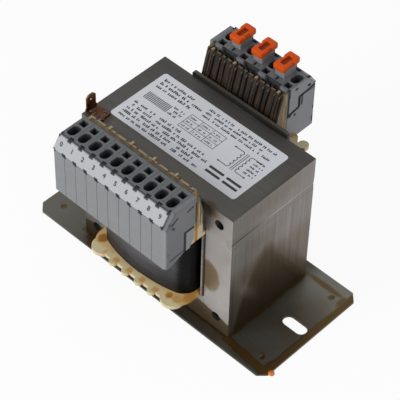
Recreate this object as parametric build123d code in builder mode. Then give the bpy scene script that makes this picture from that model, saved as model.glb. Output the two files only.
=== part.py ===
"""Single-phase laminated transformer with terminal strips, in millimetres.

Origin: centre of the underside of the base plate.  X runs along the base plate,
-Y is the side with the ten-pole strip, +Z is up.
"""
from build123d import *
from math import cos, radians
import os

os.makedirs("parts", exist_ok=True)

# Lamination grade: every core size is a multiple of the outer limb width
limb_width = 17.5
stack_depth = 60.0
core_width = 6 * limb_width
core_height = 5 * limb_width
window_height = 3 * limb_width
core_hole_radius = 2.9
weld_radius = 3.6
weld_hollow_radius = 9.0
weld_hollow_depth = 0.2

# Base plate
plate_length = 167.0
plate_depth = 75.0
plate_thickness = 1.5
plate_corner = 4.2
plate_slot_length = 15.0
plate_slot_width = 7.0
plate_slot_inset = 11.5
dimple_inset_x = 10.0
dimple_inset_y = 10.2
dimple_radius = 2.0
dimple_depth = 0.6

# Heights of the core above the bench
core_bottom = plate_thickness
joint_height = core_bottom + core_height - limb_width
core_top = core_bottom + core_height
core_face = stack_depth / 2

# Bobbin
core_clearance = 0.3
tube_wall = 1.5
tube_corner = 2.0
flange_thickness = 2.2
flange_side_gap = 0.3
flange_reach = 5.0
flange_corner = 10.0
lobe_rise = 2.6
edge_lobe_radius = 2.3
edge_lobe_pitch = 9.3
lower_lobe_count = 4
upper_lobe_count = 6
lower_lobe_shift = 0.3
upper_lobe_shift = 0.1
lower_corner_lobe_radius = 6.4
lower_corner_lobe_gap = 8.1
upper_corner_lobe_radius = 2.9
upper_corner_lobe_gap = 2.7
bobbin_bottom = core_bottom + limb_width + core_clearance
bobbin_top = joint_height - core_clearance
tube_half_x = limb_width + core_clearance + tube_wall
tube_half_y = core_face + core_clearance + tube_wall

# Coil layers, from the tube outwards; the secondary fills what the others leave
coil_inset = 1.9
coil_bow = 5.8
coil_corner = 10.0
primary_build = 5.0
interlayer_build = 0.6
tape_build = 0.8
coil_bottom = bobbin_bottom + flange_thickness
coil_top = bobbin_top - flange_thickness
coil_height = coil_top - coil_bottom

# Slot liners between the coil and the outer limbs
liner_thickness = 1.0
liner_gap = 0.5
liner_overhang = 1.2

# Terminal strips
pole_pitch = 7.5
front_poles = 10
rear_places = 7
rear_offset = -3.75
strip_gap = 2.8
strip_height = 34.8
strip_depth = 20.8
roof_depth = 15.4
slant_drop = 7.9
hook_gap = 0.4
hook_drop = 1.5
foot_chamfer_out = 3.0
foot_chamfer_up = 5.8
seam_chamfer = 0.25
end_chamfer = 0.5
wire_entry_length = 7.8
wire_entry_width = 5.2
wire_entry_out = 10.1
tool_entry_side = 4.2
tool_entry_out = 3.6
entry_depth = 12.5
chamber_near = 1.9
chamber_far = 14.6
chamber_floor_drop = 24.5
chamber_wall = 1.2
bar_thickness = 1.0
bar_width = 4.0
bar_reach = 12.0
bar_top_drop = 5.0
bar_clearance = 0.1
end_plate_thickness = 2.5
end_sheet_thickness = 0.8
end_step_out = 8.5
end_step_drop = 18.2
end_heel_drop = 32.2
end_toe_inset = 2.7
mark_depth = 0.7
long_mark_length = 7.2
long_mark_width = 1.3
long_mark_out = 17.3
long_mark_drop = 7.5
long_mark_angle = -58
short_mark_length = 4.4
short_mark_width = 1.0
short_mark_out = 4.6
short_mark_drop = 4.4
short_mark_angle = 12
relief_width = 0.6
relief_depth = 0.35
relief_step_out = 8.5
relief_low_drop = 17.0
relief_high_drop = 9.0
relief_nose_drop = 9.6
marker_margin = 0.6
marker_thickness = 1.0
marker_end_gap = 0.25
marker_notch = 0.7
cage_length = 9.6
cage_height = 9.0
cage_sheet = 0.6
cage_width = 3.9
tongue_angle = 32

# Lead carriers: leaning walls between the core and the strips
wall_thickness = 1.8
wall_bend_rise = 16.3
wall_top_drop = 0.7
wall_lean = 4.8
wall_lip = 1.0
front_wall_inset = 1.5
cheek_thickness = 1.5
cheek_gap = 0.3
rib_count = 4
rib_width = 1.3
rib_rise = 1.0
notch_width = 1.7
notch_depth = 2.3
wing_gap = 1.5

# Leads and the barrier strips behind them
lead_radius = 0.6
lead_sides = 8
lead_seat_gap = 0.05
lead_bend_rise = 0.1
lead_contact_length = 4.0
front_lead_squeeze = 0.95
rear_lead_half_gap = 1.6
lead_slot_width = 1.7
lead_slot_gap = 0.15
barrier_thickness = 1.8
barrier_overhang = 0.3375
barrier_rise = 2.6
barrier_corner = 1.6

# Bridge plugs
stem_width = 5.9
stem_length = 9.6
stem_height = 4.6
shank_width = 3.0
shank_length = 5.4
shank_depth = 14.0
shank_clearance = 0.1
plug_length = 13.2
plug_width = 7.3
plug_waist = 5.0
plug_waist_length = 4.6
plug_thickness = 3.3
plug_corner = 0.7
plug_recess_width = 2.3
plug_recess_length = 6.0
plug_recess_depth = 1.6
slit_length = 3.2
slit_width = 1.3
bridge_notch_depth = 1.2
bridge_notch_drop = 2.6

# Earth tab
tab_thickness = 0.8
tab_foot_length = 10.5
tab_foot_width = 7.4
tab_blade_width = 6.3
tab_shoulder = 1.6
tab_height = 10.2
tab_corner = 1.6
tab_hole_radius = 0.8
tab_hole_height = 6.6
tab_inset_x = 0.3
tab_inset_y = 6.0

# Label
label_length = 86.0
label_width = 40.6
label_thickness = 0.2
label_corner = 1.8
label_x = -0.3
label_y = 0.9

# Base plate: flat sheet with clipped corners, two fixing slots and four punch dimples
plate_slot_x = plate_length / 2 - plate_slot_inset
dimple_x = plate_length / 2 - dimple_inset_x
dimple_y = plate_depth / 2 - dimple_inset_y
with BuildPart() as base_plate:
    with BuildSketch() as plate_outline:
        Rectangle(plate_length, plate_depth)
        chamfer(plate_outline.vertices(), plate_corner)
        with Locations((-plate_slot_x, 0), (plate_slot_x, 0)):
            SlotOverall(plate_slot_length, plate_slot_width, mode=Mode.SUBTRACT)
    extrude(amount=plate_thickness)
    with Locations((0, 0, plate_thickness - dimple_depth)):
        with GridLocations(2 * dimple_x, 2 * dimple_y, 2, 2):
            Cone(
                0,
                dimple_radius,
                dimple_depth,
                align=(Align.CENTER, Align.CENTER, Align.MIN),
                mode=Mode.SUBTRACT,
            )

# E laminations: back yoke at the bottom, three limbs upwards
hole_x = core_width / 2 - limb_width / 2
window_x = 1.5 * limb_width
with BuildPart() as core_e:
    with BuildSketch(Plane.XZ):
        with Locations((0, core_bottom)):
            Rectangle(core_width, joint_height - core_bottom, align=(Align.CENTER, Align.MIN))
        with Locations((-window_x, joint_height), (window_x, joint_height)):
            Rectangle(limb_width, window_height, align=(Align.CENTER, Align.MAX), mode=Mode.SUBTRACT)
        with Locations((-hole_x, core_bottom + limb_width / 2), (hole_x, core_bottom + limb_width / 2)):
            Circle(core_hole_radius, mode=Mode.SUBTRACT)
        with Locations((-core_width / 2, joint_height), (core_width / 2, joint_height)):
            Circle(weld_radius, mode=Mode.SUBTRACT)
    extrude(amount=stack_depth / 2, both=True)

# I laminations: the top yoke that closes the magnetic circuit
with BuildPart() as core_i:
    with BuildSketch(Plane.XZ):
        with Locations((0, joint_height)):
            Rectangle(core_width, limb_width, align=(Align.CENTER, Align.MIN))
        with Locations((-hole_x, core_top - limb_width / 2), (hole_x, core_top - limb_width / 2)):
            Circle(core_hole_radius, mode=Mode.SUBTRACT)
        with Locations((-core_width / 2, joint_height), (core_width / 2, joint_height)):
            Circle(weld_radius, mode=Mode.SUBTRACT)
    extrude(amount=stack_depth / 2, both=True)

# Weld seams: half-round fillings of the grooves at the two ends of the joint, slightly hollow outside
with BuildPart() as joint_welds:
    with BuildSketch(Plane.XZ):
        for side in (-1, 1):
            with Locations((side * core_width / 2, joint_height)):
                Circle(weld_radius)
        with Locations((-core_width / 2, joint_height)):
            Rectangle(2 * weld_radius, 2 * weld_radius, align=(Align.MAX, Align.CENTER), mode=Mode.SUBTRACT)
        with Locations((core_width / 2, joint_height)):
            Rectangle(2 * weld_radius, 2 * weld_radius, align=(Align.MIN, Align.CENTER), mode=Mode.SUBTRACT)
        for side in (-1, 1):
            hollow_x = side * (core_width / 2 + weld_hollow_radius - weld_hollow_depth)
            with Locations((hollow_x, joint_height)):
                Circle(weld_hollow_radius, mode=Mode.SUBTRACT)
    extrude(amount=stack_depth / 2, both=True)

# Distances from the centre plane, outwards: yoke, barrier strip, leads, carrier wall, terminal strip
barrier_face = core_face + core_clearance
lead_y = barrier_face + barrier_thickness + lead_seat_gap + lead_radius
wall_inner = lead_y + lead_radius + lead_seat_gap
wall_outer = wall_inner + wall_thickness
wall_top_inner = wall_inner + wall_lean
wall_top_outer = wall_top_inner + wall_lip
strip_face = wall_top_outer + strip_gap
flange_half_depth = strip_face + flange_reach
flange_half_width = 2 * limb_width - liner_gap - liner_thickness - flange_side_gap
strip_top = bobbin_top + strip_height
wall_top_height = strip_top - wall_top_drop
wall_bend_height = bobbin_top + wall_bend_rise
front_wall_half = front_poles * pole_pitch / 2 - front_wall_inset

# Leads stand in one row per side: ten for the front strip, two per place for the rear strip
front_pole_x = [pole_pitch * (place - (front_poles - 1) / 2) for place in range(front_poles)]
rear_place_x = [rear_offset + pole_pitch * (place - (rear_places - 1) / 2) for place in range(rear_places)]
front_lead_x = [front_lead_squeeze * pole_x for pole_x in front_pole_x]
rear_lead_x = [place_x + side * rear_lead_half_gap for place_x in rear_place_x for side in (-1, 1)]
barrier_half = front_lead_x[-1] + lead_radius + barrier_overhang
rear_wall_low = rear_place_x[0] - pole_pitch / 2
rear_wall_high = rear_place_x[-1] + pole_pitch / 2

# Side view of a carrier wall and of its cheeks, as (distance from the centre, height)
wall_points = [
    (wall_inner, bobbin_top - flange_thickness / 2),
    (wall_inner, wall_bend_height),
    (wall_top_inner, wall_top_height),
    (wall_top_outer, wall_top_height),
    (wall_outer, wall_bend_height),
    (wall_outer, bobbin_top - flange_thickness / 2),
]
cheek_outer = strip_face - cheek_gap
cheek_points = wall_points[:3] + [(cheek_outer, wall_top_height), (cheek_outer, bobbin_top - flange_thickness / 2)]
rib_points = [
    (wall_inner - rib_rise, bobbin_top - flange_thickness / 2),
    (wall_inner - rib_rise, wall_bend_height),
    (wall_top_inner - rib_rise, wall_top_height + rib_rise),
    (wall_top_outer, wall_top_height + rib_rise),
    (wall_outer, wall_bend_height),
    (wall_outer, bobbin_top - flange_thickness / 2),
]
front_rib_x = [2 * pole_pitch * (rib - (rib_count - 1) / 2) for rib in range(rib_count)]
rear_rib_x = [rear_offset + rib_x for rib_x in front_rib_x]

# Bobbin: tube, two lobed flanges and the two leaning lead carriers, moulded in one piece
with BuildPart() as bobbin:
    with BuildSketch(Plane.XY.offset(bobbin_bottom)):
        RectangleRounded(2 * tube_half_x, 2 * tube_half_y, tube_corner)
    extrude(amount=bobbin_top - bobbin_bottom)
    lower_lobes = (lower_lobe_count, lower_lobe_shift, lower_corner_lobe_radius, lower_corner_lobe_gap)
    upper_lobes = (upper_lobe_count, upper_lobe_shift, upper_corner_lobe_radius, upper_corner_lobe_gap)
    lobe_tip = flange_half_depth + lobe_rise
    for level, lobes in ((bobbin_bottom, lower_lobes), (coil_top, upper_lobes)):
        lobe_count, lobe_shift, corner_lobe_radius, corner_lobe_gap = lobes
        with BuildSketch(Plane.XY.offset(level)):
            RectangleRounded(2 * flange_half_width, 2 * flange_half_depth, flange_corner)
            with Locations((lobe_shift, 0)):
                corner_lobe_x = flange_half_width - corner_lobe_gap
                corner_lobe_y = lobe_tip - corner_lobe_radius
                with GridLocations(2 * corner_lobe_x, 2 * corner_lobe_y, 2, 2):
                    Circle(corner_lobe_radius)
                edge_lobe_y = lobe_tip - edge_lobe_radius
                with GridLocations(edge_lobe_pitch, 2 * edge_lobe_y, lobe_count, 2):
                    Circle(edge_lobe_radius)
        extrude(amount=flange_thickness)
    # Wings that carry the ends of the front wall
    with BuildSketch(Plane.XY.offset(coil_top)):
        with Locations((0, -core_face - wing_gap)):
            wing_depth = flange_half_depth - core_face - wing_gap
            Rectangle(2 * front_wall_half, wing_depth, align=(Align.CENTER, Align.MAX))
    extrude(amount=flange_thickness)
    # Front wall with its ribs and cheeks
    with BuildSketch(Plane.YZ):
        with BuildLine():
            Polyline(*[(-out, height) for out, height in wall_points], close=True)
        make_face()
    extrude(amount=front_wall_half, both=True)
    for rib_x in front_rib_x:
        with BuildSketch(Plane.YZ.offset(rib_x)):
            with BuildLine():
                Polyline(*[(-out, height) for out, height in rib_points], close=True)
            make_face()
        extrude(amount=rib_width / 2, both=True)
    for cheek_x in (-front_wall_half, front_wall_half - cheek_thickness):
        with BuildSketch(Plane.YZ.offset(cheek_x)):
            with BuildLine():
                Polyline(*[(-out, height) for out, height in cheek_points], close=True)
            make_face()
        extrude(amount=cheek_thickness)
    # Rear wall with its ribs and cheeks
    with BuildSketch(Plane.YZ.offset(rear_wall_low)):
        with BuildLine():
            Polyline(*wall_points, close=True)
        make_face()
    extrude(amount=rear_wall_high - rear_wall_low)
    for rib_x in rear_rib_x:
        with BuildSketch(Plane.YZ.offset(rib_x)):
            with BuildLine():
                Polyline(*rib_points, close=True)
            make_face()
        extrude(amount=rib_width / 2, both=True)
    for cheek_x in (rear_wall_low, rear_wall_high - cheek_thickness):
        with BuildSketch(Plane.YZ.offset(cheek_x)):
            with BuildLine():
                Polyline(*cheek_points, close=True)
            make_face()
        extrude(amount=cheek_thickness)
    # Bore for the middle limb
    with BuildSketch(Plane.XY.offset(bobbin_bottom)):
        Rectangle(2 * (limb_width + core_clearance), 2 * (core_face + core_clearance))
    extrude(amount=bobbin_top - bobbin_bottom, mode=Mode.SUBTRACT)
    # Slots in the upper flange that let the leads through, and notches in the wall tops
    for side, lead_places in ((-1, front_lead_x), (1, rear_lead_x)):
        slot_inner = tube_half_y + lead_slot_gap
        slot_outer = wall_inner
        with BuildSketch(Plane.XY.offset(coil_top)):
            for place_x in lead_places:
                with Locations((place_x, side * (slot_inner + slot_outer) / 2)):
                    Rectangle(lead_slot_width, slot_outer - slot_inner)
        extrude(amount=flange_thickness, mode=Mode.SUBTRACT)
        with BuildSketch(Plane.XY.offset(wall_top_height - notch_depth)):
            for place_x in lead_places:
                with Locations((place_x, side * (wall_top_inner + wall_top_outer) / 2)):
                    Rectangle(notch_width, 2 * wall_thickness + wall_lip)
        extrude(amount=notch_depth + rib_rise, mode=Mode.SUBTRACT)

# Coil layers: rings that grow from the tube by their own build.  Wound wire bulges over the long
# sides of the tube, so the front and the back bow out more with every layer.
coil_build = flange_half_width - coil_inset - tube_half_x
secondary_build = coil_build - primary_build - interlayer_build - tape_build
with BuildSketch(Plane.XY.offset(coil_bottom)) as tube_outline:
    RectangleRounded(2 * tube_half_x, 2 * tube_half_y, tube_corner)
inner_outline = tube_outline
layer_start = 0.0
coil_layers = []
for build in (primary_build, interlayer_build, secondary_build, tape_build):
    outer = layer_start + build
    layer_x = tube_half_x + outer
    layer_crest = tube_half_y + outer
    layer_corner_y = layer_crest - coil_bow * outer / coil_build
    with BuildSketch(Plane.XY.offset(coil_bottom)) as outer_outline:
        with BuildLine():
            ThreePointArc((-layer_x, -layer_corner_y), (0, -layer_crest), (layer_x, -layer_corner_y))
            Line((layer_x, -layer_corner_y), (layer_x, layer_corner_y))
            ThreePointArc((layer_x, layer_corner_y), (0, layer_crest), (-layer_x, layer_corner_y))
            Line((-layer_x, layer_corner_y), (-layer_x, -layer_corner_y))
        make_face()
        layer_rounding = tube_corner + (coil_corner - tube_corner) * outer / coil_build
        fillet(outer_outline.vertices(), layer_rounding)
    with BuildPart() as coil_layer:
        with BuildSketch(Plane.XY.offset(coil_bottom)):
            add(outer_outline.sketch)
            add(inner_outline.sketch, mode=Mode.SUBTRACT)
        extrude(amount=coil_height)
    coil_layers.append(coil_layer.part)
    inner_outline = outer_outline
    layer_start = outer
primary_winding, interlayer, secondary_winding, outer_tape = coil_layers

# Slot liner: a thin board between the coil and an outer limb
liner_x = 2 * limb_width - liner_gap - liner_thickness / 2
with BuildPart() as slot_liner:
    with BuildSketch(Plane.XY.offset(core_bottom + limb_width)):
        Rectangle(liner_thickness, stack_depth + 2 * liner_overhang)
    extrude(amount=bobbin_top - core_bottom - limb_width)

# Barrier strip: stands on the flange between the yoke and the leads
with BuildPart() as barrier_strip:
    with BuildSketch(Plane.XZ.offset(barrier_face)) as barrier_outline:
        with Locations((0, bobbin_top)):
            Rectangle(
                2 * barrier_half,
                core_top + barrier_rise - bobbin_top,
                align=(Align.CENTER, Align.MIN),
            )
        fillet(barrier_outline.vertices().group_by(Axis.Y)[-1], barrier_corner)
    extrude(amount=barrier_thickness)

# Terminal housing: one disc of the strip, open towards the next disc
roof_edge = strip_face + roof_depth
strip_front = strip_face + strip_depth
hook_out = flange_half_depth + lobe_rise + hook_gap
slant_bottom = strip_top - slant_drop
housing_points = [
    (strip_face, strip_top),
    (roof_edge, strip_top),
    (strip_front, slant_bottom),
    (strip_front, bobbin_top - hook_drop),
    (hook_out, bobbin_top - hook_drop),
    (hook_out, bobbin_top),
    (strip_face + foot_chamfer_out, bobbin_top),
    (strip_face, bobbin_top + foot_chamfer_up),
]
chamber_floor = strip_top - chamber_floor_drop
chamber_roof = strip_top - entry_depth
chamber_middle = (chamber_near + chamber_far) / 2
housings = []
for is_bridge in (False, True):
    with BuildPart() as housing:
        with BuildSketch(Plane.YZ):
            with BuildLine():
                Polyline(*[(-out, height) for out, height in housing_points], close=True)
            make_face()
        extrude(amount=pole_pitch / 2, both=True)
        seam_edges = housing.faces().sort_by(Axis.X)[0].edges().filter_by(
            lambda edge: edge.center().Y < -strip_face - 1 and edge.center().Z > bobbin_top
        )
        chamfer(seam_edges, seam_chamfer)
        # Stepped relief groove in the closed side
        with BuildSketch(Plane.YZ.offset(-pole_pitch / 2)):
            with BuildLine():
                Polyline(
                    (-strip_face, strip_top - relief_low_drop),
                    (-strip_face - relief_step_out, strip_top - relief_low_drop),
                    (-strip_face - relief_step_out, strip_top - relief_high_drop),
                    (-strip_front, strip_top - relief_nose_drop),
                )
            trace(line_width=relief_width)
        extrude(amount=relief_depth, mode=Mode.SUBTRACT)
        # Chamber that takes the clamp, open on one side
        with BuildSketch(Plane.YZ.offset(chamber_wall - pole_pitch / 2)):
            with Locations((-strip_face - chamber_middle, chamber_floor)):
                Rectangle(
                    chamber_far - chamber_near,
                    chamber_roof - chamber_floor,
                    align=(Align.CENTER, Align.MIN),
                )
        extrude(amount=pole_pitch - chamber_wall, mode=Mode.SUBTRACT)
        # Groove and passage of the contact bar
        with BuildSketch(Plane.XZ.offset(strip_face)):
            with Locations((0, chamber_floor)):
                Rectangle(
                    bar_width + 2 * bar_clearance,
                    strip_top - bar_top_drop - chamber_floor + bar_clearance,
                    align=(Align.CENTER, Align.MIN),
                )
        extrude(amount=bar_thickness, mode=Mode.SUBTRACT)
        with BuildSketch(Plane.XZ.offset(strip_face)):
            with Locations((0, chamber_floor)):
                Rectangle(
                    bar_width + 2 * bar_clearance,
                    bar_thickness + bar_clearance,
                    align=(Align.CENTER, Align.MIN),
                )
        extrude(amount=chamber_near, mode=Mode.SUBTRACT)
        if is_bridge:
            with BuildSketch(Plane.XY.offset(strip_top)) as stem_outline:
                with Locations((0, -strip_face - wire_entry_out)):
                    Rectangle(stem_width, stem_length)
            extrude(amount=stem_height)
            with BuildSketch(Plane.XY.offset(strip_top + stem_height)):
                with Locations((0, -strip_face - wire_entry_out)):
                    Rectangle(shank_width + 2 * shank_clearance, shank_length + 2 * shank_clearance)
            extrude(amount=-(stem_height + entry_depth), mode=Mode.SUBTRACT)
            with BuildSketch(Plane.XY.offset(strip_top)):
                with Locations((0, -strip_face - tool_entry_out)):
                    Rectangle(slit_width, slit_length)
            extrude(amount=-entry_depth, mode=Mode.SUBTRACT)
            with BuildSketch(Plane.XZ.offset(strip_face)):
                with Locations((0, strip_top)):
                    Rectangle(pole_pitch, bridge_notch_drop, align=(Align.CENTER, Align.MAX))
            extrude(amount=bridge_notch_depth, mode=Mode.SUBTRACT)
        else:
            with BuildSketch(Plane.XY.offset(strip_top)):
                with Locations((0, -strip_face - wire_entry_out)):
                    SlotOverall(wire_entry_length, wire_entry_width, rotation=90)
                with Locations((0, -strip_face - tool_entry_out)):
                    Rectangle(tool_entry_side, tool_entry_side)
            extrude(amount=-entry_depth, mode=Mode.SUBTRACT)
    housings.append(housing.part)
pole_housing, bridge_housing = housings

# End plate: a sheet that closes the open side of the last disc, with a raised part that leaves its heel bare
with BuildPart() as end_plate:
    with BuildSketch(Plane.YZ):
        with BuildLine():
            Polyline(*[(-out, height) for out, height in housing_points], close=True)
        make_face()
    extrude(amount=end_sheet_thickness)
    with BuildSketch(Plane.YZ.offset(end_sheet_thickness)):
        with BuildLine():
            Polyline(
                (-strip_face, strip_top),
                (-roof_edge, strip_top),
                (-strip_front, slant_bottom),
                (-strip_front, bobbin_top - hook_drop / 2),
                (-strip_front + end_toe_inset, bobbin_top - hook_drop),
                (-strip_face - end_step_out, strip_top - end_heel_drop),
                (-strip_face - end_step_out, strip_top - end_step_drop),
                (-strip_face, strip_top - end_step_drop),
                close=True,
            )
        make_face()
    extrude(amount=end_plate_thickness - end_sheet_thickness)
    chamfer(end_plate.faces().sort_by(Axis.X)[-1].edges(), end_chamfer)
    # Two marks moulded into the outer face
    with BuildSketch(Plane.YZ.offset(end_plate_thickness)):
        with Locations((-strip_face - long_mark_out, strip_top - long_mark_drop)):
            Rectangle(long_mark_length, long_mark_width, rotation=long_mark_angle)
        with Locations((-strip_face - short_mark_out, strip_top - short_mark_drop)):
            Rectangle(short_mark_length, short_mark_width, rotation=short_mark_angle)
    extrude(amount=-mark_depth, mode=Mode.SUBTRACT)

# Marker strip: lies on the slanted noses of the discs, notched at every disc
slant_length = (slant_drop**2 + (strip_depth - roof_depth) ** 2) ** 0.5
slant_normal = (0, -slant_drop / slant_length, (strip_depth - roof_depth) / slant_length)
marker_plane = Plane(
    origin=(0, -(roof_edge + strip_front) / 2, (strip_top + slant_bottom) / 2),
    x_dir=(1, 0, 0),
    z_dir=slant_normal,
)
markers = []
marker_width = slant_length - 2 * marker_margin
for places in (front_poles, rear_places):
    marker_length = places * pole_pitch - 2 * marker_end_gap
    with BuildPart() as marker:
        with BuildSketch(marker_plane):
            Rectangle(marker_length, marker_width)
            with GridLocations(pole_pitch, marker_width, places - 1, 2):
                Rectangle(marker_notch, marker_notch, rotation=45, mode=Mode.SUBTRACT)
        extrude(amount=marker_thickness)
    markers.append(marker.part)
front_marker, rear_marker = markers

# Contact bar: flat strip up the back of a disc, bent into its chamber
with BuildPart() as contact_bar:
    with BuildSketch(Plane.XZ.offset(strip_face)):
        with Locations((0, chamber_floor)):
            Rectangle(bar_width, strip_top - bar_top_drop - chamber_floor, align=(Align.CENTER, Align.MIN))
    extrude(amount=bar_thickness)
    with BuildSketch(Plane.XY.offset(chamber_floor)):
        with Locations((0, -strip_face)):
            Rectangle(bar_width, bar_reach, align=(Align.CENTER, Align.MAX))
    extrude(amount=bar_thickness)

# Cage clamp: spring frame that stands on the contact bar, with a slanted tongue
cage_middle = bar_reach - cage_length / 2
tongue_length = (cage_length - cage_sheet) / cos(radians(tongue_angle))
with BuildPart() as cage_clamp:
    with BuildSketch(Plane.YZ):
        with Locations((-strip_face - cage_middle, chamber_floor + bar_thickness)):
            Rectangle(cage_length, cage_height, align=(Align.CENTER, Align.MIN))
        with Locations((-strip_face - cage_middle, chamber_floor + bar_thickness + cage_sheet)):
            Rectangle(
                cage_length - 2 * cage_sheet,
                cage_height - 2 * cage_sheet,
                align=(Align.CENTER, Align.MIN),
                mode=Mode.SUBTRACT,
            )
        with Locations((-strip_face - cage_middle, chamber_floor + bar_thickness + cage_height / 2)):
            Rectangle(tongue_length, cage_sheet, rotation=tongue_angle)
    extrude(amount=cage_width / 2, both=True)

# One lead: up through the flange, along the leaning wall, over its notch and down to the bar;
# its section is a polygon round the wire, to keep the many leads light
lead_crest = wall_top_height - notch_depth + 2 * lead_radius
lead_end_y = strip_face - lead_radius
lead_drop_end = strip_top - bar_top_drop - lead_contact_length
lead_top_y = lead_y + wall_lean * (lead_crest - wall_bend_height) / (wall_top_height - wall_bend_height)
with BuildPart() as lead:
    with BuildLine(Plane.YZ) as lead_path:
        Polyline(
            (-lead_y, coil_top),
            (-lead_y, wall_bend_height + lead_bend_rise),
            (-lead_top_y, lead_crest),
            (-lead_end_y, lead_crest),
            (-lead_end_y, lead_drop_end),
        )
    with BuildSketch(Plane.XY.offset(coil_top)):
        with Locations((0, -lead_y)):
            RegularPolygon(lead_radius, lead_sides, major_radius=False, rotation=180 / lead_sides)
    sweep(transition=Transition.RIGHT)

# Bridge plug: dog-bone head with a recess, and a shank that reaches into its disc
plug_base = strip_top + stem_height
with BuildPart() as bridge_plug:
    with BuildSketch(Plane.XY.offset(plug_base)) as plug_outline:
        with Locations((0, -strip_face - wire_entry_out)):
            Rectangle(plug_width, plug_length)
            with Locations((plug_width / 2, 0), (-plug_width / 2, 0)):
                Rectangle(plug_width - plug_waist, plug_waist_length, mode=Mode.SUBTRACT)
        chamfer(plug_outline.vertices().group_by(Axis.X)[0], plug_corner)
        chamfer(plug_outline.vertices().group_by(Axis.X)[-1], plug_corner)
    extrude(amount=plug_thickness)
    with BuildSketch(Plane.XY.offset(plug_base + plug_thickness)):
        with Locations((0, -strip_face - wire_entry_out)):
            Rectangle(plug_recess_width, plug_recess_length)
    extrude(amount=-plug_recess_depth, mode=Mode.SUBTRACT)
    with BuildSketch(Plane.XY.offset(plug_base)):
        with Locations((0, -strip_face - wire_entry_out)):
            Rectangle(shank_width, shank_length)
    extrude(amount=-shank_depth)

# Earth tab: bent sheet with a foot on the core and an upright push-on blade
tab_x = tab_inset_x - core_width / 2
tab_y = tab_inset_y - core_face
with BuildPart() as earth_tab:
    with BuildSketch(Plane.XY.offset(core_top)):
        with Locations((tab_x, tab_y)):
            Rectangle(tab_foot_length, tab_foot_width, align=(Align.MIN, Align.CENTER))
    extrude(amount=tab_thickness)
    with BuildSketch(Plane.YZ.offset(tab_x)) as blade_outline:
        with Locations((tab_y, core_top)):
            Rectangle(tab_foot_width, tab_shoulder, align=(Align.CENTER, Align.MIN))
            Rectangle(tab_blade_width, tab_height, align=(Align.CENTER, Align.MIN))
        chamfer(blade_outline.vertices().group_by(Axis.Y)[-1], tab_corner)
        with Locations((tab_y, core_top + tab_hole_height)):
            Circle(tab_hole_radius, mode=Mode.SUBTRACT)
    extrude(amount=tab_thickness)

# Label on the top yoke
with BuildPart() as label:
    with BuildSketch(Plane.XY.offset(core_top)):
        with Locations((label_x, label_y)):
            RectangleRounded(label_length, label_width, label_corner)
    extrude(amount=label_thickness)

# Place the repeated pieces: the rear strip is the front one turned half round
half_turn = Rot(0, 0, 180)
nodes = {
    "base_plate": base_plate.part,
    "core_e": core_e.part,
    "core_i": core_i.part,
    "joint_welds": joint_welds.part,
    "bobbin": bobbin.part,
    "primary_winding": primary_winding,
    "interlayer": interlayer,
    "secondary_winding": secondary_winding,
    "outer_tape": outer_tape,
    "liner_left": Pos(-liner_x, 0, 0) * slot_liner.part,
    "liner_right": Pos(liner_x, 0, 0) * slot_liner.part,
    "front_barrier": barrier_strip.part,
    "rear_barrier": half_turn * barrier_strip.part,
    "front_end_plate": Pos(front_pole_x[-1] + pole_pitch / 2, 0, 0) * end_plate.part,
    "rear_end_plate": Pos(rear_wall_low, 0, 0) * half_turn * end_plate.part,
    "front_marker": front_marker,
    "rear_marker": Pos(rear_offset, 0, 0) * half_turn * rear_marker,
    "earth_tab": earth_tab.part,
    "label": label.part,
}
for number, pole_x in enumerate(front_pole_x, 1):
    nodes[f"front_pole_{number}"] = Pos(pole_x, 0, 0) * pole_housing
for number, place_x in enumerate(rear_place_x[0::2], 1):
    nodes[f"rear_pole_{number}"] = Pos(place_x, 0, 0) * half_turn * pole_housing
for number, place_x in enumerate(rear_place_x[1::2], 1):
    nodes[f"rear_bridge_{number}"] = Pos(place_x, 0, 0) * half_turn * bridge_housing
    nodes[f"bridge_plug_{number}"] = Pos(place_x, 0, 0) * half_turn * bridge_plug.part
nodes["front_bars"] = Compound([Pos(pole_x, 0, 0) * contact_bar.part for pole_x in front_pole_x])
nodes["rear_bars"] = Compound([Pos(place_x, 0, 0) * half_turn * contact_bar.part for place_x in rear_place_x])
nodes["front_clamps"] = Compound([Pos(pole_x, 0, 0) * cage_clamp.part for pole_x in front_pole_x])
nodes["rear_clamps"] = Compound([Pos(place_x, 0, 0) * half_turn * cage_clamp.part for place_x in rear_place_x[0::2]])
nodes["front_leads"] = Compound([Pos(place_x, 0, 0) * lead.part for place_x in front_lead_x])
nodes["rear_leads"] = Compound([Pos(place_x, 0, 0) * half_turn * lead.part for place_x in rear_lead_x])

for name, node in nodes.items():
    node.label = name
    export_step(node, f"parts/{name}.step")
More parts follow.
